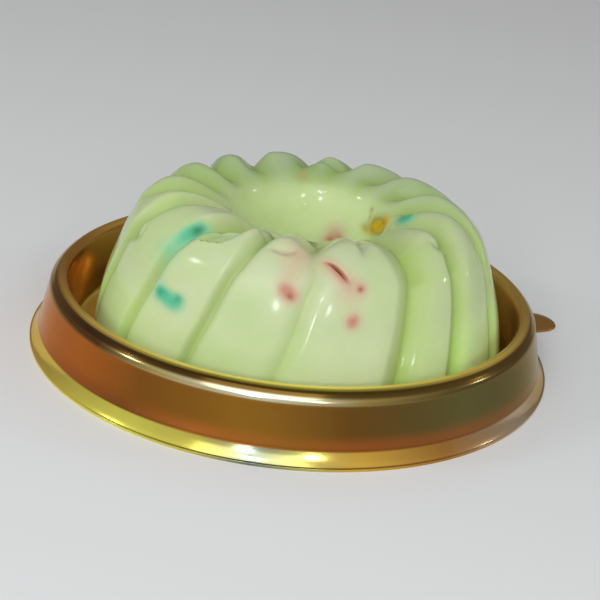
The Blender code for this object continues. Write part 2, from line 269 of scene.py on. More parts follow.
def hollow_place(azimuth, u, k, t):
    """1 in the collapsed top of one lobe, with a ragged front edge, falling to 0 at its back."""
    edge = curve(HOLLOW_EDGE_AZIMUTH, HOLLOW_EDGE_U, azimuth)
    for size, pace, start in HOLLOW_WAVES:
        edge = edge + size * np.sin(azimuth * pace + start)
    inside = (k == HOLLOW_LOBE) * smooth(*HOLLOW_LEFT_T, t) * (1.0 - smooth(*HOLLOW_RIGHT_T, t))
    return inside * smooth(edge, edge + HOLLOW_STEP_U, u) * (1.0 - smooth(*HOLLOW_BACK_U, u))


def dents(azimuth, u, k, t):
    """Depth in mm of the marks and torn places in the surface."""
    total = np.zeros(azimuth.shape)
    for a, c, half_a, half_u, depth in SOFT_DENTS:
        q = (angle_between(azimuth, a) / half_a) ** 2 + ((u - c) / half_u) ** 2
        total += depth * np.exp(-q * q)
    for a, c, half_a, half_u, depth in ROUND_DENTS:
        q = (angle_between(azimuth, a) / half_a) ** 2 + ((u - c) / half_u) ** 2
        total += depth * np.exp(-q)
    hollow = hollow_place(azimuth, u, k, t)
    total += HOLLOW_DEPTH * hollow
    fold = FOLD_U + FOLD_SLOPE * (azimuth - FOLD_AZIMUTH)
    total -= FOLD_HEIGHT * hollow * np.exp(-((u - fold) / FOLD_HALF_U) ** 2)
    middle = curve(VALLEY_U, VALLEY_AZIMUTH, u)
    across = np.radians(angle_between(azimuth, middle)) * profile(u)[0]
    across = np.where(across < 0.0, across / VALLEY_LEFT, across / VALLEY_RIGHT)
    reach = smooth(*VALLEY_START_U, u) * (1.0 - smooth(*VALLEY_END_U, u))
    total += VALLEY_DEPTH * reach * np.exp(-np.abs(across) ** VALLEY_POWER)
    for azimuths, edges, drop, fade in LEDGES:
        line = curve(azimuths, edges, azimuth)
        here = smooth(azimuths[0], azimuths[0] + LEDGE_START, azimuth)
        here = here * (1.0 - smooth(azimuths[-1] - LEDGE_END, azimuths[-1], azimuth))
        step = smooth(line, line + LEDGE_STEP_U, u)
        total += drop * here * step * (1.0 - smooth(line + LEDGE_FADE_U, line + fade, u))
    p, q = slit_place(azimuth, u)
    ends = np.clip(1.0 - p * p, 0.0, 1.0)
    opened = smooth(*SLIT_POINTED_PLACE, p)
    width = SLIT_HALF_WIDTH * (SLIT_POINTED + (1.0 - SLIT_POINTED) * opened)
    total += SLIT_DEPTH * ends * np.exp(-(q / width) ** 2)
    total -= SLIT_LIP * ends * np.exp(-((q - SLIT_LIP_PLACE) / SLIT_LIP_WIDTH) ** 2)
    return total


def flank_places(k, t, u):
    """Distance from the grooves on both sides, in widths of the shoulder and the flank."""
    lo, hi = groove_azimuth(k, u), groove_azimuth(k + 1, u)
    r, _ = profile(u)
    k, n = k % len(GROOVES), (k + 1) % len(GROOVES)
    across = np.radians(hi - lo) * r / (1.0 + CREST_WIDENING * smooth(*WIDENING_U, u))
    after, before = np.asarray(SHOULDER_AFTER)[k], np.asarray(FLANK_BEFORE)[n]
    return t * across / after, (1.0 - t) * across / before


def flute_height(k, t, u):
    """0 in a groove, nearly 1 on a flute's face."""
    after, before = flank_places(k, t, u)
    k, n = k % len(GROOVES), (k + 1) % len(GROOVES)
    strength, crest = np.asarray(GROOVE_STRENGTH), smooth(*FULL_GROOVE_U, u)
    shoulder = np.exp(-after ** SHOULDER_POWER) * (strength[k] + (1.0 - strength[k]) * crest)
    rounding = np.where(n == SOFT_GROOVE, SOFT_GROOVE_ROUNDING, FLANK_ROUNDING)
    flank = 0.5 * (1.0 - before + np.hypot(1.0 - before, rounding))
    flank = flank * (strength[n] + (1.0 - strength[n]) * crest)
    return np.maximum(1.0 - shoulder - flank, 0.0)


def flute_depth(azimuth, u):
    """Height of the flutes in mm, which end lower on the lip in front than at the back."""
    back = (0.5 - 0.5 * np.cos(np.radians(azimuth))) ** FLUTE_END_POWER
    a = FLUTE_END_FRONT[0] + (FLUTE_END_BACK[0] - FLUTE_END_FRONT[0]) * back
    b = FLUTE_END_FRONT[1] + (FLUTE_END_BACK[1] - FLUTE_END_FRONT[1]) * back
    return curve(FLUTE_DEPTH_U, FLUTE_DEPTH, u) * (1.0 - smooth(a, b, u))


def cake_point(azimuth, u, k=None, t=None):
    """Place on the ring's surface in mm, with flutes and marks."""
    azimuth, u = np.broadcast_arrays(np.asarray(azimuth, float), np.asarray(u, float))
    if k is None:
        k, t = lobe_place(azimuth, u)
    r, z = profile(u)
    nr, nz, _ = profile_normal(u)
    rise = (flute_height(k, t, u) - FLUTE_MEAN) * flute_depth(azimuth, u)
    rise = rise - dents(azimuth, u, k, t)
    end = (u <= 0.0) | (u >= 1.0)
    nr, nz = np.where(end, np.sign(nr), nr), np.where(end, 0.0, nz)
    r, z = r + nr * rise, z + nz * rise
    a = np.radians(azimuth)
    shift = HOLE_SHIFT * smooth(*HOLE_SHIFT_U, u)
    x, y = CAKE_CENTRE[0] + r * np.sin(a), CAKE_CENTRE[1] + shift - r * np.cos(a)
    return np.stack([x, y, z], -1)


def grid_faces(rows, columns, close_rows=False):
    i = np.arange(rows if close_rows else rows - 1)[:, None]
    j = np.arange(columns)[None, :]
    m, n = (i + 1) % rows, (j + 1) % columns
    corners = [i * columns + j, i * columns + n, m * columns + n, m * columns + j]
    return np.stack(corners, -1).reshape(-1, 4)


def make_mesh(name, verts, faces, mat):
    mesh = bpy.data.meshes.new(name)
    places = [tuple(v) for v in np.asarray(verts) * MM]
    mesh.from_pydata(places, [], [tuple(int(i) for i in f) for f in faces])
    mesh.update()
    obj = bpy.data.objects.new(name, mesh)
    bpy.context.scene.collection.objects.link(obj)
    bpy.context.view_layer.objects.active = obj
    obj.select_set(True)
    bpy.ops.object.mode_set(mode="EDIT")
    bpy.ops.mesh.select_all(action="SELECT")
    bpy.ops.mesh.normals_make_consistent(inside=False)
    bpy.ops.object.mode_set(mode="OBJECT")
    obj.select_set(False)
    mesh.polygons.foreach_set("use_smooth", [True] * len(mesh.polygons))
    mesh.materials.append(mat)
    return obj


def new_material(name):
    mat = bpy.data.materials.new(name)
    mat.use_nodes = True
    nodes = mat.node_tree.nodes
    return mat, nodes, mat.node_tree.links, nodes["Principled BSDF"]


def rgb(r, g, b):
    """sRGB 0-255 to linear."""
    out = []
    for c in (r, g, b):
        c /= 255.0
        out.append(c / 12.92 if c <= 0.04045 else ((c + 0.055) / 1.055) ** 2.4)
    return (*out, 1.0)


def noise(nodes, scale, detail):
    n = nodes.new("ShaderNodeTexNoise")
    n.inputs["Scale"].default_value = scale
    n.inputs["Detail"].default_value = detail
    return n


def ramp(nodes, links, source, a, b, ca, cb):
    r = nodes.new("ShaderNodeValToRGB")
    r.color_ramp.elements[0].position = a
    r.color_ramp.elements[1].position = b
    r.color_ramp.elements[0].color = ca
    r.color_ramp.elements[1].color = cb
    links.new(source, r.inputs["Fac"])
    return r.outputs["Color"]


def mix(nodes, links, fac, a, b, mode="MIX"):
    m = nodes.new("ShaderNodeMix")
    m.data_type = "RGBA"
    m.blend_type = mode
    for socket, value in ((m.inputs[0], fac), (m.inputs[6], a), (m.inputs[7], b)):
        if hasattr(value, "links") or hasattr(value, "is_output"):
            links.new(value, socket)
        else:
            socket.default_value = value
    return m.outputs[2]


def map_range(nodes, links, source, to, start=(0.0, 1.0)):
    """A value mapped from one range to another."""
    m = nodes.new("ShaderNodeMapRange")
    for socket, value in zip(("From Min", "From Max", "To Min", "To Max"), (*start, *to)):
        m.inputs[socket].default_value = value
    links.new(source, m.inputs["Value"])
    return m.outputs["Result"]


def point_colour(nodes, layer):
    """The colours kept at a mesh's points under a name."""
    node = nodes.new("ShaderNodeVertexColor")
    node.layer_name = layer
    return node.outputs


def bump(nodes, links, height, distance, strength, normal=None):
    b = nodes.new("ShaderNodeBump")
    b.inputs["Strength"].default_value = strength
    b.inputs["Distance"].default_value = distance
    links.new(height, b.inputs["Height"])
    if normal is not None:
        links.new(normal, b.inputs["Normal"])
    return b.outputs["Normal"]


# Colours of the jelly, its pieces, its stains and its painted shade, matched to the photograph
JELLY_PALE = rgb(208, 214, 180)
JELLY_DEEP = rgb(194, 210, 156)
TEAL_HALO = rgb(142, 204, 162)
TEAL_CORE = rgb(104, 196, 154)
TEAL_DARK = rgb(72, 166, 124)
TEAL_DEEP = rgb(58, 138, 100)
RED_HALO = rgb(208, 178, 150)
RED_CORE = rgb(202, 150, 130)
RED_DARK = rgb(172, 112, 88)
RED_DEEP = rgb(156, 92, 58)
AMBER_HALO = rgb(160, 156, 76)
AMBER_CORE = rgb(214, 172, 30)
AMBER_DARK = rgb(158, 112, 10)
SLIT_BROWN = rgb(140, 42, 0)
SLIT_RED = rgb(200, 84, 56)
LIP_RED = rgb(190, 104, 82)
# Painted shade for the notches on the hole's front lip
LIP_NOTCH_SHADE = rgb(92, 84, 24)
# Painted shade for the crease along the torn ledge on the left
LEDGE_CREASE_SHADE = rgb(124, 150, 84)

# The jelly's light: how deep it goes in, how it shines, and the size of its clouds and pits
SCATTER_WEIGHT = 0.85
SCATTER_RADIUS = (1.0, 1.0, 0.45)
RING_SCATTER = 0.0015
PIECE_SCATTER = 0.0007
JELLY_IOR = 1.36
CLOUD_SCALE = 22.0
CLOUD_RANGE = (0.35, 0.68)
CLOUD_BUMP = 0.0015
JELLY_BUMP_STRENGTH = 0.5
MOTTLE_SCALE = 160.0
MOTTLE_RANGE = (0.3, 0.7)
MOTTLE_SHARE = 0.25
PIT_SCALE = 210.0
PIT_RANGE = (0.05, 0.16)
PIT_BUMP = 0.00010
RING_ROUGHNESS = (0.10, 0.15)
TINTED_ROUGHNESS = 0.34
# Specular level where the jelly is plain, and where it carries stains and painted shade
GLEAM = (0.40, 0.12)
PIECE_GLEAM = 0.14
PIECE_ROUGHNESS = 0.40
PIECE_NOISE_SCALE = 380.0
PIECE_NOISE_RANGE = (0.34, 0.64)
PIECE_NOISE_SHARE = 0.3
PIECE_BUMP = 0.0001
PIECE_BUMP_STRENGTH = 0.4

# Painted light and shade on the jelly by place, as a share of each channel: painted shade in the
# grooves, on the flanks at the left, on the right, on the back of the crest and in the hollow;
# painted light low on the sides, in the hole and on the front lip; the left side painted yellower by
# the light from there
GROOVE_SHADE = (-0.26, -0.16, -0.56)
FLANK_SHADE = (-0.13, -0.11, -0.16)
LOW_SIDE_LIGHT = (0.32, 0.46, 0.24)
LEFT_SIDE_LIGHT = (-0.05, 0.0, -0.19)
HOLE_LIGHT = (0.15, 0.16, 0.07)
RIGHT_SIDE_SHADE = (-0.07, -0.01, -0.18)
LIP_LIGHT = (0.15, 0.11, 0.15)
BACK_SHADE = (-0.24, -0.18, -0.20)
HOLLOW_SHADE = (-0.20, -0.09, -0.22)
# Where those changes begin and end: x and y in tenths of a metre, heights in mm, places
# along u, and places beside a groove in widths of its flank
TINT_UNIT = 100.0
GROOVE_SHADE_POWER = 0.9
SIDE_X = (0.45, 0.90)
LOW_Z = (52.0, 20.0)
LOW_FRONT_SHARE = 0.35
HOLE_U = (0.665, 0.77)
CREST_U = (0.42, 0.55)
FLANK_PLACE = (0.5, 1.5)
FLANK_LEFT_X = (0.05, 0.45)
LEFT_X = (0.1, 0.9)
RIGHT_X = (0.15, 0.75)
LIP_U = (0.55, 0.62)
LIP_Y = (-0.15, -0.45)
BACK_Y = (-0.2, 0.5)


def set_scatter(shader, scale):
    """Milky jelly: light enters it and comes out nearby."""
    shader.inputs["Subsurface Weight"].default_value = SCATTER_WEIGHT
    shader.inputs["Subsurface Radius"].default_value = SCATTER_RADIUS
    shader.inputs["Subsurface Scale"].default_value = scale
    shader.inputs["IOR"].default_value = JELLY_IOR


def jelly_material():
    mat, nodes, links, shader = new_material("milky_jelly")
    coord = nodes.new("ShaderNodeTexCoord")
    big = noise(nodes, CLOUD_SCALE, 2.0)
    fine = noise(nodes, MOTTLE_SCALE, 3.0)
    for n in (big, fine):
        links.new(coord.outputs["Object"], n.inputs["Vector"])
    cloud = ramp(nodes, links, big.outputs["Fac"], *CLOUD_RANGE, JELLY_DEEP, JELLY_PALE)
    mottle = ramp(nodes, links, fine.outputs["Fac"], *MOTTLE_RANGE, JELLY_DEEP, JELLY_PALE)
    mottled = mix(nodes, links, MOTTLE_SHARE, cloud, mottle)
    # Painted light and shade, kept at the points, multiplied into the colour
    shade = point_colour(nodes, "shade")
    lowered = mix(nodes, links, 1.0, mottled, shade["Color"], "MULTIPLY")
    tint = point_colour(nodes, "tint")
    final = mix(nodes, links, tint["Alpha"], lowered, tint["Color"])
    links.new(final, shader.inputs["Base Color"])
    set_scatter(shader, RING_SCATTER)
    gleam = map_range(nodes, links, tint["Alpha"], GLEAM)
    links.new(gleam, shader.inputs["Specular IOR Level"])
    matt = nodes.new("ShaderNodeMath")
    matt.operation = "MULTIPLY_ADD"
    matt.inputs[1].default_value = TINTED_ROUGHNESS
    links.new(tint["Alpha"], matt.inputs[0])
    links.new(map_range(nodes, links, big.outputs["Fac"], RING_ROUGHNESS), matt.inputs[2])
    links.new(matt.outputs[0], shader.inputs["Roughness"])
    pits = nodes.new("ShaderNodeTexVoronoi")
    pits.inputs["Scale"].default_value = PIT_SCALE
    links.new(coord.outputs["Object"], pits.inputs["Vector"])
    pit = ramp(nodes, links, pits.outputs["Distance"], *PIT_RANGE, (0, 0, 0, 1), (1, 1, 1, 1))
    strength = JELLY_BUMP_STRENGTH
    clouded = bump(nodes, links, big.outputs["Fac"], CLOUD_BUMP, strength)
    links.new(bump(nodes, links, pit, PIT_BUMP, strength, clouded), shader.inputs["Normal"])
    return mat


def piece_material(name, core, dark):
    mat, nodes, links, shader = new_material(name)
    coord = nodes.new("ShaderNodeTexCoord")
    tint = point_colour(nodes, "tint")
    n = noise(nodes, PIECE_NOISE_SCALE, 3.0)
    links.new(coord.outputs["Object"], n.inputs["Vector"])
    spots = ramp(nodes, links, n.outputs["Fac"], *PIECE_NOISE_RANGE, dark, core)
    inner = nodes.new("ShaderNodeMath")
    inner.operation = "MULTIPLY"
    inner.inputs[1].default_value = PIECE_NOISE_SHARE
    links.new(tint["Alpha"], inner.inputs[0])
    links.new(mix(nodes, links, inner.outputs[0], tint["Color"], spots), shader.inputs["Base Color"])
    set_scatter(shader, PIECE_SCATTER)
    shader.inputs["Roughness"].default_value = PIECE_ROUGHNESS
    shader.inputs["Specular IOR Level"].default_value = PIECE_GLEAM
    grain = bump(nodes, links, n.outputs["Fac"], PIECE_BUMP, PIECE_BUMP_STRENGTH)
    links.new(grain, shader.inputs["Normal"])
    return mat


# Film colour by place, with painted reflections that change round the tray: orange to the left and
# olive grey to the right, painted highlights on the flare and on the rim's corner in front, and the
# jelly painted as reflected on the rim's inner slope and the tray's floor. Sine of the azimuth (-1
# left, 1 right) and colours there
WALL_REFLECTION_TONES = ([-1.0, -0.75, -0.5, -0.15, 0.25, 0.65, 1.0],
              [(206, 96, 22), (194, 104, 20), (142, 86, 16), (154, 106, 14), (114, 76, 14),
               (102, 94, 46), (74, 66, 32)])
# Painted reflections at the foot
FOOT_REFLECTION_TONES = ([-1.0, -0.55, -0.28, 0.05, 0.3, 0.65, 1.0],
              [(200, 96, 30), (142, 80, 22), (196, 114, 40), (160, 100, 28), (166, 90, 32),
               (150, 92, 42), (110, 84, 50)])
# Painted reflections on the flare, with a painted highlight in front
FLARE_REFLECTION_TONES = ([-1.0, -0.57, -0.28, -0.08, 0.08, 0.29, 0.58, 0.88, 1.0],
               [(236, 196, 90), (254, 246, 104), (226, 214, 94), (124, 132, 120), (196, 190, 104),
                (240, 192, 76), (190, 134, 58), (196, 176, 150), (170, 136, 90)])
# Painted reflection of the jelly on the rim's inner slope
SLOPE_REFLECTION_TONES = ([-1.0, -0.4, 0.1, 1.0],
               [(190, 130, 50), (250, 232, 104), (250, 236, 100), (200, 160, 70)])
# Painted dark reflection on the rim's crest
CREST_REFLECTION_TONES = ([-1.0, -0.75, -0.4, 0.1, 0.6, 1.0],
               [(120, 76, 34), (70, 40, 12), (92, 62, 14), (112, 86, 22), (90, 66, 14),
                (98, 66, 24)])
TAB_TONE = (186, 132, 56)
# Painted reflection of the jelly on the tray's floor
TRAY_FLOOR_REFLECTION_TONE = (228, 206, 112)
# Painted highlight along the rim's corner, palest in front
CORNER_HIGHLIGHT_TONES = ([-1.0, -0.7, -0.45, -0.1, 0.3, 0.6, 1.0],
                [(130, 84, 38), (104, 64, 22), (206, 186, 116), (238, 236, 206), (168, 144, 76),
                 (112, 94, 44), (92, 74, 36)])
# Painted reflections on the inner wall
INNER_REFLECTION_TONES = ([-1.0, 0.0, 1.0], [(216, 156, 98), (250, 214, 120), (240, 184, 120)])
# Where one colour gives way to the next: radius up the inside, then height down the wall
FLOOR_EDGE_R = 105.2
INNER_EDGE_R = 107.5
SLOPE_EDGE_R = 110.5
SLOPE_FADE_R = (107.5, 109.0)
CREST_FADE_R = (112.4, 113.4)
CORNER_FADE_Z = (29.2, 28.2)
WALL_FADE_Z = (26.6, 25.4)
FOOT_FADE_Z = (15.0, 8.5)
FLARE_FADE_Z = (7.4, 6.4)
# The rim's inner slope in front, where the jelly's light makes the film look bright
SLOPE_GLOW = 0.75
GLOW_START_R = (107.6, 108.6)
GLOW_END_R = (111.4, 112.4)
FILM_CLOUD_SCALE = 14.0
FILM_GRAIN_SCALE = 900.0
FILM_CLOUDS = (0.82, 0.80, 0.78, 1)
FILM_CLOUD_RANGE = (0.3, 0.7)
FILM_METALLIC = (0.0, 0.88)
FILM_ROUGHNESS = (0.12, 0.20)
FILM_TINT = (1.0, 0.82, 0.5, 1)
FILM_COAT = 0.22
FILM_COAT_ROUGHNESS = 0.08
FILM_BUMP = 0.0012
GRAIN_BUMP = 0.00003
FILM_BUMP_STRENGTH = 0.3


def tone_at(tones, x):
    """Linear colour between named colours."""
    at, colours = tones
    linear = np.array([rgb(*c)[:3] for c in colours])
    return np.stack([np.interp(x, at, linear[:, i]) for i in range(3)], -1)


def film_and_reflection_colour(r, z, azimuth, under):
    """Gold colour on one ring of the tray's profile, with painted reflections and highlights."""
    x = np.sin(np.radians(azimuth))
    if under:
        return tone_at(WALL_REFLECTION_TONES, x)
    if r < FLOOR_EDGE_R:
        return tone_at(([0.0], [TRAY_FLOOR_REFLECTION_TONE]), x)
    if r < INNER_EDGE_R:
        return tone_at(INNER_REFLECTION_TONES, x)
    if r < SLOPE_EDGE_R:
        f = smooth(*SLOPE_FADE_R, r)
        return tone_at(INNER_REFLECTION_TONES, x) * (1.0 - f) + tone_at(SLOPE_REFLECTION_TONES, x) * f
    colour = tone_at(SLOPE_REFLECTION_TONES, x)
    bands = (
        (CREST_REFLECTION_TONES, smooth(*CREST_FADE_R, r)),
        (CORNER_HIGHLIGHT_TONES, smooth(*CORNER_FADE_Z, z)),
        (WALL_REFLECTION_TONES, smooth(*WALL_FADE_Z, z)),
        (FOOT_REFLECTION_TONES, smooth(*FOOT_FADE_Z, z)),
        (FLARE_REFLECTION_TONES, smooth(*FLARE_FADE_Z, z)),
    )
    for tones, f in bands:
        colour = colour * (1.0 - f) + tone_at(tones, x) * f
    return colour


def gold_material():
    mat, nodes, links, shader = new_material("gold_film")
    coord = nodes.new("ShaderNodeTexCoord")
    big = noise(nodes, FILM_CLOUD_SCALE, 2.0)
    fine = noise(nodes, FILM_GRAIN_SCALE, 4.0)
    for n in (big, fine):
        links.new(coord.outputs["Object"], n.inputs["Vector"])
    # Gold colour with painted reflections and highlights, kept at the points
    film_and_reflections = point_colour(nodes, "film_and_reflections")
    cloudy = ramp(nodes, links, big.outputs["Fac"], *FILM_CLOUD_RANGE, FILM_CLOUDS, (1, 1, 1, 1))
    colour = mix(nodes, links, 1.0, film_and_reflections["Color"], cloudy, "MULTIPLY")
    links.new(colour, shader.inputs["Base Color"])
    links.new(map_range(nodes, links, film_and_reflections["Alpha"], FILM_METALLIC), shader.inputs["Metallic"])
    rough = map_range(nodes, links, big.outputs["Fac"], FILM_ROUGHNESS)
    links.new(rough, shader.inputs["Roughness"])
    shader.inputs["Specular Tint"].default_value = FILM_TINT
    shader.inputs["Coat Weight"].default_value = FILM_COAT
    shader.inputs["Coat Roughness"].default_value = FILM_COAT_ROUGHNESS
    strength = FILM_BUMP_STRENGTH
    waves = bump(nodes, links, big.outputs["Fac"], FILM_BUMP, strength)
    grain = bump(nodes, links, fine.outputs["Fac"], GRAIN_BUMP, strength, waves)
    links.new(grain, shader.inputs["Normal"])
    return mat


# Coloured pieces: name, azimuth and u of the middle, half length and half width in mm, and turn
# in degrees
PIECES = [
    ("teal_piece_streak", -45.4, 0.498, 9.0, 2.2, 74.0),
    ("teal_piece_bone", -40.2, 0.320, 7.6, 3.4, -8.0),
    ("teal_piece_crown", 85.0, 0.684, 4.6, 3.0, 20.0),
    ("amber_piece_lip", 111.0, 0.768, 5.8, 3.4, 12.0),
    ("red_piece_oval", -4.0, 0.412, 4.2, 2.6, -38.0),
    ("red_piece_slit", 10.8, 0.484, 6.6, 1.7, -48.0),
    ("red_piece_dot", 17.4, 0.435, 1.7, 1.5, 0.0),
    ("red_piece_small", 15.0, 0.353, 2.6, 2.0, 60.0),
    ("red_piece_lip", 20.0, 0.660, 4.6, 2.2, 14.0),
    ("amber_piece_side", 121.0, 0.300, 6.0, 4.2, 35.0),
    ("red_piece_back_high", 150.0, 0.470, 5.6, 3.4, -25.0),
    ("teal_piece_back", 167.0, 0.330, 6.8, 3.8, 15.0),
    ("amber_piece_back", -165.0, 0.480, 5.0, 3.6, 50.0),
    ("red_piece_back_low", -128.5, 0.250, 5.6, 3.8, -60.0),
    ("teal_piece_left", -102.0, 0.430, 5.8, 3.2, 40.0),
    ("amber_piece_left", -87.0, 0.240, 5.0, 3.6, -20.0),
]
FAMILY = {
    "teal": (TEAL_HALO, TEAL_CORE, TEAL_DARK),
    "red": (RED_HALO, RED_CORE, RED_DARK),
    "amber": (AMBER_HALO, AMBER_CORE, AMBER_DARK),
}
# The bone's outline: its width at the waist, and where along it the ends are full
BONE_WAIST = 0.72
BONE_END = 0.62
PIECE_END_SLOPE = 0.3
# The long teal piece is fainter at its lower end
STREAK_FADE = 0.38
STREAK_FADE_U = (0.44, 0.53)
HALO_REACH = {"teal": 1.4, "red": 1.9, "amber": 2.6}
HALO_POWER = 1.5
CORE_EDGE = (-1.2, 0.4)
# Colour reaches points no further than this above or below the surface, in mm
PIECE_COLOUR_DEPTH = 8.0
MARK_COLOUR_DEPTH = 9.0
# The slit's dark line: place across it, half width, strength, then its darkest place along it
SLIT_LINE_PLACE = -0.2
SLIT_LINE_WIDTH = 0.8
SLIT_LINE_STRENGTH = 0.9
SLIT_DARK_PLACE = 0.10
SLIT_DARK_LENGTH = 0.6
# Stains and painted shade: azimuth, u, half sizes around and along in mm, turn in degrees, colour,
# strength
STAINS_AND_SHADE = [
    (-45.5, 0.36, 3.0, 6.0, 0.0, TEAL_HALO, 0.40),
    (-47.5, 0.43, 7.0, 6.0, 0.0, TEAL_HALO, 0.60),
    (55.0, 0.52, 3.0, 3.0, 0.0, TEAL_HALO, 0.30),
    (-3.0, 0.53, 7.0, 8.0, 0.0, RED_HALO, 0.70),
    (-4.0, 0.46, 4.0, 5.0, 0.0, RED_HALO, 0.45),
    (14.0, 0.43, 6.0, 7.0, 0.0, RED_HALO, 0.60),
    (2.0, 0.63, 4.0, 4.0, 0.0, RED_CORE, 0.40),
    (187.0, 0.694, 2.6, 2.6, 0.0, RED_CORE, 0.45),
    (85.0, 0.682, 5.2, 5.0, 0.0, TEAL_CORE, 0.80),
    (-35.2, 0.322, 2.6, 3.0, 0.0, TEAL_CORE, 0.75),
    (-38.6, 0.302, 5.4, 2.2, 0.0, TEAL_CORE, 0.55),
    (127.0, 0.785, 3.4, 2.0, 0.0, AMBER_HALO, 0.75),
    (118.0, 0.778, 3.6, 3.6, 0.0, AMBER_CORE, 0.80),
    (104.0, 0.750, 4.2, 3.4, 0.0, AMBER_CORE, 0.80),
    (127.8, 0.747, 1.2, 1.4, 0.0, AMBER_DARK, 0.60),
    (126.6, 0.762, 0.7, 2.4, 0.0, AMBER_DARK, 0.45),
    # Painted shade in the notches between the bumps of the hole's front lip
    (-20.0, 0.674, 2.6, 2.4, 0.0, LIP_NOTCH_SHADE, 0.75),
    (1.8, 0.712, 3.2, 3.0, 0.0, LIP_NOTCH_SHADE, 0.70),
    (-2.6, 0.668, 2.2, 2.0, 0.0, LIP_NOTCH_SHADE, 0.70),
    (22.6, 0.640, 1.2, 3.2, 0.0, LIP_NOTCH_SHADE, 0.60),
    (26.2, 0.668, 1.8, 2.4, 0.0, LIP_NOTCH_SHADE, 0.70),
    (12.0, 0.664, 7.0, 2.0, 0.0, RED_CORE, 0.80),
    (157.0, 0.812, 6.4, 4.6, 25.0, RED_HALO, 0.85),
    (158.0, 0.822, 5.0, 1.8, 25.0, RED_CORE, 0.80),
    # Pink stain with painted shade in the dent under the knob on the front lobe
    (-10.4, 0.534, 2.2, 0.9, -20.0, RED_DARK, 0.35),
    (-7.2, 0.527, 2.4, 0.9, 0.0, RED_DARK, 0.40),
    (-4.2, 0.540, 2.4, 0.9, 35.0, RED_DARK, 0.25),
    # Painted shade in the crease along the torn ledge on the left
    (-68.0, 0.386, 7.0, 1.5, 24.0, LEDGE_CREASE_SHADE, 0.60),
]
# The darkest places of the pieces, in the same form
HEARTS = [
    (-43.9, 0.536, 3.2, 1.6, 74.0, TEAL_DEEP, 0.90),
    (-42.9, 0.325, 3.0, 1.7, 0.0, TEAL_DARK, 0.85),
    (-36.2, 0.328, 2.0, 2.0, 0.0, TEAL_DARK, 0.80),
    (84.0, 0.690, 4.2, 4.2, 0.0, TEAL_DARK, 0.85),
    (158.0, 0.825, 4.8, 0.9, 25.0, LIP_RED, 0.90),
    (117.5, 0.778, 3.4, 2.4, 0.0, AMBER_CORE, 0.85),
    (103.0, 0.748, 3.4, 2.4, 0.0, AMBER_CORE, 0.85),
    (127.0, 0.788, 2.6, 1.5, 0.0, AMBER_CORE, 0.60),
    (-3.3, 0.403, 1.7, 1.1, -38.0, RED_DEEP, 0.75),
    (17.2, 0.432, 1.0, 0.9, 0.0, RED_DARK, 0.90),
    (14.6, 0.355, 1.0, 1.0, 0.0, RED_CORE, 0.60),
    (106.0, 0.755, 1.6, 1.0, 0.0, AMBER_DARK, 0.60),
    (119.0, 0.782, 1.6, 1.0, 0.0, AMBER_DARK, 0.55),
    (12.0, 0.668, 5.0, 1.1, 0.0, RED_DEEP, 0.80),
]


def local_frame(azimuth, u):
    """Radius, mm for one of u, and the directions and middle of a place on the ring."""
    r, _ = profile(np.array(u))
    nr, nz, stretch = (float(v) for v in profile_normal(np.array(float(u))))
    sa, ca = math.sin(math.radians(azimuth)), math.cos(math.radians(azimuth))
    around, along = np.array([ca, sa, 0.0]), np.array([-nz * sa, nz * ca, nr])
    normal = np.array([nr * sa, -nr * ca, nz])
    return float(r), stretch, around, along, normal, cake_point(azimuth, u)


def piece_distance(name, az, u, hl, hw, turn, points):
    """How far points lie outside a piece's outline in mm, negative inside, and their height."""
    _, _, around, along, normal, centre = local_frame(az, u)
    d = points - centre
    x, y, h = d @ around, d @ along, d @ normal
    ct, st = math.cos(math.radians(turn)), math.sin(math.radians(turn))
    px, py = x * ct + y * st, -x * st + y * ct
    if name == "teal_piece_bone":
        ends = np.clip(np.abs(px) / (BONE_END * hl), 0.0, 1.0) ** 2
        hw = hw * (BONE_WAIST + (1.0 - BONE_WAIST) * ends)
    e = np.sqrt((px / hl) ** 2 + (py / hw) ** 2)
    beyond = np.maximum(np.abs(px) - hl, 0.0)
    return (e - 1.0) * np.minimum(hl, hw) + beyond * PIECE_END_SLOPE, h


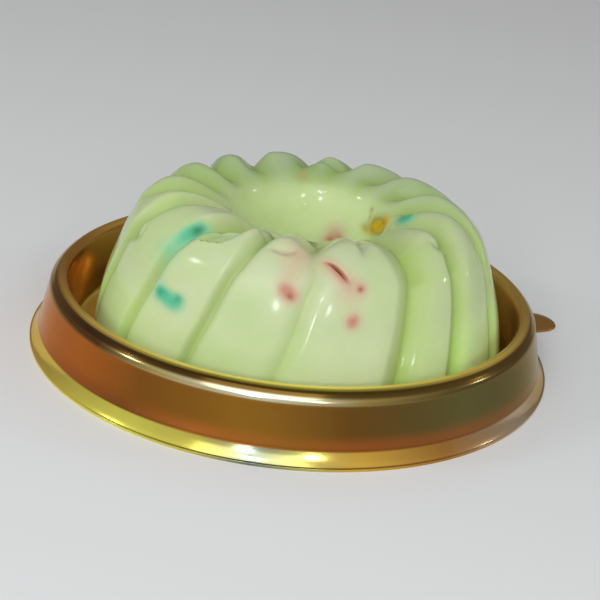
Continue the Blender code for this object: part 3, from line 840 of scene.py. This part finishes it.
def paint_halos_stains_and_shade(points, u, azimuth):
    """Colour that has run from each piece into the jelly, with stains and painted shade, as colour
    and strength per point.
    """
    colour = np.zeros((len(points), 3))
    weight = np.zeros(len(points))

    def add(col, w):
        nonlocal colour, weight
        colour = colour * (1.0 - w)[:, None] + col * w[:, None]
        weight = weight * (1.0 - w) + w

    def blot(az, c, hx, hy, turn, col, strength):
        _, _, around, along, normal, centre = local_frame(az, c)
        d = points - centre
        x, y = d @ around, d @ along
        ct, st = math.cos(math.radians(turn)), math.sin(math.radians(turn))
        q = ((x * ct + y * st) / hx) ** 2 + ((-x * st + y * ct) / hy) ** 2
        near = np.abs(d @ normal) < MARK_COLOUR_DEPTH
        add(np.array(col[:3]), np.exp(-q) * near * strength)

    for painted_mark in STAINS_AND_SHADE:
        blot(*painted_mark)
    for name, az, c, hl, hw, turn in PIECES:
        family = name.split("_")[0]
        halo, core, _ = (np.array(v[:3]) for v in FAMILY[family])
        d, h = piece_distance(name, az, c, hl, hw, turn, points)
        near = (np.abs(h) < PIECE_COLOUR_DEPTH) * 1.0
        if name == "teal_piece_streak":
            near = near * (STREAK_FADE + (1.0 - STREAK_FADE) * smooth(*STREAK_FADE_U, u))
        add(halo, np.exp(-(np.maximum(d, 0.0) / HALO_REACH[family]) ** HALO_POWER) * near)
        add(core, (1.0 - smooth(*CORE_EDGE, d)) * near)
    for heart in HEARTS:
        blot(*heart)
    p, q = slit_place(azimuth, u)
    line = np.exp(-((q - SLIT_LINE_PLACE) / SLIT_LINE_WIDTH) ** 2)
    dark = np.clip(1.0 - p * p, 0.0, 1.0) * line * (np.abs(p) < 1.0)
    add(np.array(SLIT_RED[:3]), dark * SLIT_LINE_STRENGTH)
    add(np.array(SLIT_BROWN[:3]), dark * np.exp(-((p - SLIT_DARK_PLACE) / SLIT_DARK_LENGTH) ** 2))
    safe = np.maximum(weight, 1e-6)
    return colour / safe[:, None], np.clip(weight, 0.0, 1.0)


def jelly_shade(points, azimuth, u, k, t):
    """Painted light and shade as a multiplier of the jelly's colour: painted shade in the grooves,
    painted light low on the sides.
    """
    x, y = (points[:, 0] - CAKE_CENTRE[0]) / TINT_UNIT, points[:, 1] / TINT_UNIT
    groove = np.clip(1.0 - flute_height(k, t, u), 0.0, 1.0) ** GROOVE_SHADE_POWER
    side = smooth(*SIDE_X, np.abs(x))
    low = smooth(*LOW_Z, points[:, 2])
    hole = smooth(*HOLE_U, u)
    crest = smooth(*CREST_U, u) * (1.0 - hole)
    flank = (1.0 - smooth(*FLANK_PLACE, flank_places(k, t, u)[1])) * smooth(*FLANK_LEFT_X, -x)
    flank = flank * (1.0 - smooth(*CREST_U, u))
    parts = (
        (groove * (1.0 - hole), GROOVE_SHADE),
        (low * (LOW_FRONT_SHARE + (1.0 - LOW_FRONT_SHARE) * side), LOW_SIDE_LIGHT),
        (flank, FLANK_SHADE),
        (smooth(*LEFT_X, -x) * (1.0 - hole), LEFT_SIDE_LIGHT),
        (hole, HOLE_LIGHT),
        (smooth(*RIGHT_X, x) * (1.0 - hole) * (1.0 - crest), RIGHT_SIDE_SHADE),
        (smooth(*LIP_U, u) * (1.0 - hole) * smooth(*LIP_Y, y), LIP_LIGHT),
        (smooth(*BACK_Y, y) * crest, BACK_SHADE),
        (hollow_place(azimuth, u, k, t), HOLLOW_SHADE),
    )
    shade = np.ones((len(points), 3))
    for weight, tint in parts:
        shade = shade * (1.0 + weight[:, None] * np.array(tint))
    return shade


def set_colours(mesh, name, colour, weight):
    """Keeps a colour and a strength at each point of a mesh."""
    data = np.concatenate([colour, weight[:, None]], 1).astype(np.float32)
    attr = mesh.attributes.new(name, "FLOAT_COLOR", "POINT")
    attr.data.foreach_set("color", data.ravel())


def build_jelly():
    us = [np.linspace(a, b, n, endpoint=False) for a, b, n in ROW_STEPS]
    us = np.concatenate(us + [[1.0]])
    lobes, ts = [], []
    for k, n in enumerate(LOBE_SAMPLES):
        t = np.arange(n) / n
        lobes.append(np.full(n, k))
        ts.append(t - SAMPLE_CROWDING * np.sin(2 * math.pi * t))
    lobes, ts = np.concatenate(lobes), np.concatenate(ts)
    u, k = np.broadcast_arrays(us[:, None], lobes[None, :])
    t = np.broadcast_to(ts[None, :], u.shape)
    lo, hi = groove_azimuth(k, u), groove_azimuth(k + 1, u)
    azimuth = lo + (hi - lo) * t
    points = cake_point(azimuth, u, k, t).reshape(-1, 3)
    faces = grid_faces(len(us), len(lobes), close_rows=True)
    obj = make_mesh("jelly_ring_surface", points, faces, jelly_material())
    colour, weight = paint_halos_stains_and_shade(points, u.ravel(), azimuth.ravel())
    set_colours(obj.data, "tint", colour, weight)
    # Painted light and shade for the jelly's points
    shade = jelly_shade(points, azimuth.ravel(), u.ravel(), k.ravel(), t.ravel())
    set_colours(obj.data, "shade", shade, np.ones(len(points)))
    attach(obj, "root")
    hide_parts("jelly_ring")


# A piece's mesh: rings just above the jelly's surface, the first close to its middle, then
# layers round its edge and below, as lift in mm and scale
PIECE_RINGS = 10
PIECE_SIDES = 44
PIECE_LIFT = 0.02
PIECE_MIDDLE = 0.1
PIECE_LAYERS = [(0.02, 1.003), (-0.02, 1.004), (-1.6, 0.97), (-3.0, 0.8), (-3.0, 0.01)]
PIECE_OUTLINE_POWER = 0.85
PIECE_INNER_EDGE = (-2.2, -0.5)


def build_pieces():
    mats = {f: piece_material(f + "_jelly", c, d) for f, (_, c, d) in FAMILY.items()}
    rings, sides = PIECE_RINGS, PIECE_SIDES
    tone = np.array(JELLY_PALE[:3]) * 0.5 + np.array(JELLY_DEEP[:3]) * 0.5
    for name, az, u, hl, hw, turn in PIECES:
        family = name.split("_")[0]
        dark = np.array(FAMILY[family][2][:3])
        r, stretch, _, _, normal, _ = local_frame(az, u)
        ct, st = math.cos(math.radians(turn)), math.sin(math.radians(turn))
        th = np.linspace(0, 2 * math.pi, sides, endpoint=False)
        c, s = np.cos(th), np.sin(th)
        ox = hl * np.sign(c) * np.abs(c) ** PIECE_OUTLINE_POWER
        oy = hw * np.sign(s) * np.abs(s) ** PIECE_OUTLINE_POWER
        x, y = ox * ct - oy * st, ox * st + oy * ct
        verts, azs, us = [], [], []

        def layer(scale, lift):
            px, py = x * scale, y * scale
            a, v = az + np.degrees(px / r), u + py / stretch
            verts.append(cake_point(a, v) + lift * normal)
            azs.append(a)
            us.append(v)

        for q in range(rings - 1):
            layer(max(q, PIECE_MIDDLE) / (rings - 2), PIECE_LIFT)
        for lift, scale in PIECE_LAYERS:
            layer(scale, lift)
        points = np.concatenate(verts)
        faces = [list(f) for f in grid_faces(len(verts), sides)]
        faces.append(list(range(sides)))
        faces.append(list(range((len(verts) - 1) * sides, len(verts) * sides)))
        colour, weight = paint_halos_stains_and_shade(points, np.concatenate(us), np.concatenate(azs))
        colour = colour * weight[:, None] + tone * (1.0 - weight)[:, None]
        d, _ = piece_distance(name, az, u, hl, hw, turn, points)
        inner = (1.0 - smooth(*PIECE_INNER_EDGE, d)) * (name != "red_piece_slit")
        sunk = np.arange(len(points)) >= rings * sides
        colour[sunk] = dark
        obj = make_mesh(name + "_jelly", points, faces, mats[family])
        set_colours(obj.data, "tint", colour, inner)
        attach(obj, "root")
        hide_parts(name)


def dense_profile(points, per):
    """Rounds a half profile's corners a little and adds points along it."""
    pts = np.array(points, float)
    out = []
    for i in range(len(pts) - 1):
        p0 = pts[max(i - 1, 0)]
        p1, p2 = pts[i], pts[i + 1]
        p3 = pts[min(i + 2, len(pts) - 1)]
        d = np.hypot(*(p2 - p1))
        m1 = (p2 - p0) / (np.hypot(*(p2 - p0)) + 1e-9) * d
        m2 = (p3 - p1) / (np.hypot(*(p3 - p1)) + 1e-9) * d
        if d > STRAIGHT_OVER:
            m1 = m2 = p2 - p1
        for t in np.arange(per) / per:
            out.append((2 * t ** 3 - 3 * t ** 2 + 1) * p1 + (t ** 3 - 2 * t ** 2 + t) * m1
                       + (-2 * t ** 3 + 3 * t ** 2) * p2 + (t ** 3 - t ** 2) * m2)
    out.append(pts[-1])
    return np.array(out)


def flange_edge(column, azimuth):
    """Place of the flange's edge in one column, out on the tab where it has one."""
    a = math.radians(azimuth)
    x, y = TRAY_FLANGE_RADIUS * math.sin(a), -TRAY_FLANGE_RADIUS * math.cos(a)
    if 0 < column < TAB_COLUMNS:
        s = abs(2.0 * column / TAB_COLUMNS - 1.0)
        side = math.copysign(1.0, column - TAB_COLUMNS / 2)
        inner = TRAY_FLANGE_RADIUS + TAB_ROOT_LENGTH
        if s > TAB_ROOT_SHARE:
            q = (s - TAB_ROOT_SHARE) / (1.0 - TAB_ROOT_SHARE)
            across = TAB_HALF_WIDTH + TAB_ROOT_FLARE * q ** TAB_ROOT_POWERS[0]
            reach = inner - TAB_ROOT_LENGTH * (1 - (1 - q) ** TAB_ROOT_POWERS[1])
        else:
            turn = math.pi / 2 * s / TAB_ROOT_SHARE
            across = TAB_HALF_WIDTH * math.sin(turn) ** TAB_TONGUE_POWERS[0]
            reach = inner + (TAB_REACH - inner) * math.cos(turn) ** TAB_TONGUE_POWERS[1]
        t = math.radians(TAB_AZIMUTH)
        across *= side
        x = reach * math.sin(t) + across * math.cos(t)
        y = -reach * math.cos(t) + across * math.sin(t)
    return x, y


def build_tray():
    edge = TAB_ROOT_HALF_ANGLE
    tab = [TAB_AZIMUTH - edge + 2 * edge * k / TAB_COLUMNS for k in range(TAB_COLUMNS + 1)]
    rest = TRAY_COLUMNS - TAB_COLUMNS
    span = 360.0 - 2 * edge
    azimuths = np.array(tab + [TAB_AZIMUTH + edge + span * k / rest for k in range(1, rest)])
    a, columns = np.radians(azimuths), len(azimuths)
    rows, film_and_reflections, metal = [], [], []
    for r, z in dense_profile(TRAY_UPPER, TRAY_UPPER_STEPS):
        glow = SLOPE_GLOW * smooth(*GLOW_START_R, r) * (1.0 - smooth(*GLOW_END_R, r))
        glow = glow * np.clip(np.cos(a), 0.0, 1.0)
        metal.append(1.0 - glow)
        rows.append(np.stack([r * np.sin(a), -r * np.cos(a), np.full(columns, z)], -1))
        # Gold colour with painted reflections and highlights for this ring
        film_and_reflections.append(film_and_reflection_colour(r, z, azimuths, False))
    rim = np.array([flange_edge(j, az) for j, az in enumerate(azimuths)])
    inner = rows[-1][:, :2]
    column, border = np.arange(columns), TAB_BORDER_COLUMNS
    on_tab = (column > border) & (column < TAB_COLUMNS - border)
    for f, z in FLANGE_ROWS:
        rows.append(np.concatenate([inner + (rim - inner) * f, np.full((columns, 1), z)], 1))
        film_and_reflections.append(np.where(on_tab[:, None], np.array(rgb(*TAB_TONE)[:3]), film_and_reflections[-1]))
    for r, z in dense_profile(TRAY_LOWER, TRAY_LOWER_STEPS):
        rows.append(np.stack([r * np.sin(a), -r * np.cos(a), np.full(columns, z)], -1))
        film_and_reflections.append(film_and_reflection_colour(r, z, azimuths, True))
    faces = [list(f) for f in grid_faces(len(rows), columns)]
    faces.append(list(range(columns)))
    faces.append(list(range((len(rows) - 1) * columns, len(rows) * columns)))
    obj = make_mesh("gold_tray", np.concatenate(rows), faces, gold_material())
    metal += [np.ones(columns)] * (len(film_and_reflections) - len(metal))
    set_colours(obj.data, "film_and_reflections", np.concatenate(film_and_reflections), np.concatenate(metal))
    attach(obj, "root")
    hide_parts("cake_tray")


def build_camera():
    """Camera that sees the tray's middle where the photograph has it."""
    e, roll = CAMERA_PITCH, CAMERA_ROLL
    ahead = np.array([0.0, math.cos(e), -math.sin(e)])
    right = np.array([1.0, 0.0, 0.0])
    up = np.cross(right, ahead)
    r = right * math.cos(roll) + up * math.sin(roll)
    t = -right * math.sin(roll) + up * math.cos(roll)
    half = FRAME_PX / 2
    across, down = ((p - half) / FOCAL_PX for p in TRAY_CENTRE_PX)
    place = -CAMERA_DISTANCE * (across * r - down * t + ahead)
    data = bpy.data.cameras.new("camera")
    data.sensor_width = SENSOR_MM
    data.lens = SENSOR_MM * FOCAL_PX / FRAME_PX
    data.clip_start = CLIP_NEAR
    data.clip_end = CLIP_FAR
    cam = bpy.data.objects.new("camera", data)
    bpy.context.scene.collection.objects.link(cam)
    m = Matrix.Identity(4)
    for i in range(3):
        m[i][0], m[i][1], m[i][2], m[i][3] = r[i], t[i], -ahead[i], place[i]
    cam.matrix_world = m
    bpy.context.scene.camera = cam


def area_light(name, place, aim, size, power, colour):
    data = bpy.data.lights.new(name, "AREA")
    data.energy = power
    data.color = colour
    data.size = size
    obj = bpy.data.objects.new(name, data)
    bpy.context.scene.collection.objects.link(obj)
    obj.location = place
    obj.rotation_euler = (Vector(aim) - Vector(place)).to_track_quat("-Z", "Y").to_euler()


# Floor, half its width in metres
FLOOR_HALF = 6.0
FLOOR_COLOUR = (0.86, 0.86, 0.85, 1)
FLOOR_ROUGHNESS = 0.9
# Brightness of the studio by sine of the elevation, then on the camera's side and opposite
SKY = [(0.0, 0.46), (0.42, 0.60), (0.60, 0.74), (0.77, 0.50), (0.94, 0.20)]
SKY_FRONT = 1.17
SKY_BACK = 0.40
WINDOW_BLUE = (0.84, 0.92, 1.0)
LAMP_AIM = (0, 0, 0.04)
# Lamps: azimuth and elevation in degrees, distance and size in metres, power in watts, colour
LIGHTS = [
    ("softbox", -11.0, 42.0, 1.6, 1.20, 8.7, (1.0, 1.0, 1.0)),
    ("window_left", -13.0, 20.0, 1.4, 0.10, 1.4, WINDOW_BLUE),
    ("window_right", 15.0, 21.0, 1.4, 0.10, 1.2, WINDOW_BLUE),
    ("window_high", -11.0, 34.0, 1.4, 0.16, 1.7, WINDOW_BLUE),
    ("window_side", -76.0, 32.0, 1.4, 0.14, 1.4, WINDOW_BLUE),
    ("window_edge", 96.0, 24.0, 1.4, 0.10, 0.9, WINDOW_BLUE),
]


def build_floor():
    mesh = bpy.data.meshes.new("floor")
    s = FLOOR_HALF
    mesh.from_pydata([(-s, -s, 0), (s, -s, 0), (s, s, 0), (-s, s, 0)], [], [(0, 1, 2, 3)])
    floor = bpy.data.objects.new("floor", mesh)
    bpy.context.scene.collection.objects.link(floor)
    mat, _, _, shader = new_material("pale_floor")
    shader.inputs["Base Color"].default_value = FLOOR_COLOUR
    shader.inputs["Roughness"].default_value = FLOOR_ROUGHNESS
    mesh.materials.append(mat)


def build_studio():
    """Pale sky, brighter on the camera's side, with a softbox and five narrow windows."""
    world = bpy.data.worlds.new("studio")
    world.use_nodes = True
    nodes, links = world.node_tree.nodes, world.node_tree.links
    coord = nodes.new("ShaderNodeTexCoord")
    place = nodes.new("ShaderNodeSeparateXYZ")
    links.new(coord.outputs["Generated"], place.inputs[0])
    sky = nodes.new("ShaderNodeValToRGB")
    links.new(place.outputs["Z"], sky.inputs["Fac"])
    for i, (at, value) in enumerate(SKY):
        e = sky.color_ramp.elements[i] if i < 2 else sky.color_ramp.elements.new(at)
        e.position, e.color = at, (value, value, value, 1)
    links.new(sky.outputs["Color"], nodes["Background"].inputs["Color"])
    front = map_range(nodes, links, place.outputs["Y"], (SKY_FRONT, SKY_BACK), (-1.0, 1.0))
    links.new(front, nodes["Background"].inputs["Strength"])
    bpy.context.scene.world = world
    for name, azimuth, elevation, distance, size, power, colour in LIGHTS:
        a, e = math.radians(azimuth), math.radians(elevation)
        way = (math.sin(a) * math.cos(e), -math.cos(a) * math.cos(e), math.sin(e))
        area_light(name, [distance * v for v in way], LAMP_AIM, size, power, colour)
    bpy.context.scene.view_settings.view_transform = "Standard"


build_camera()
build_floor()
build_studio()
build_tray()
build_jelly()
build_pieces()
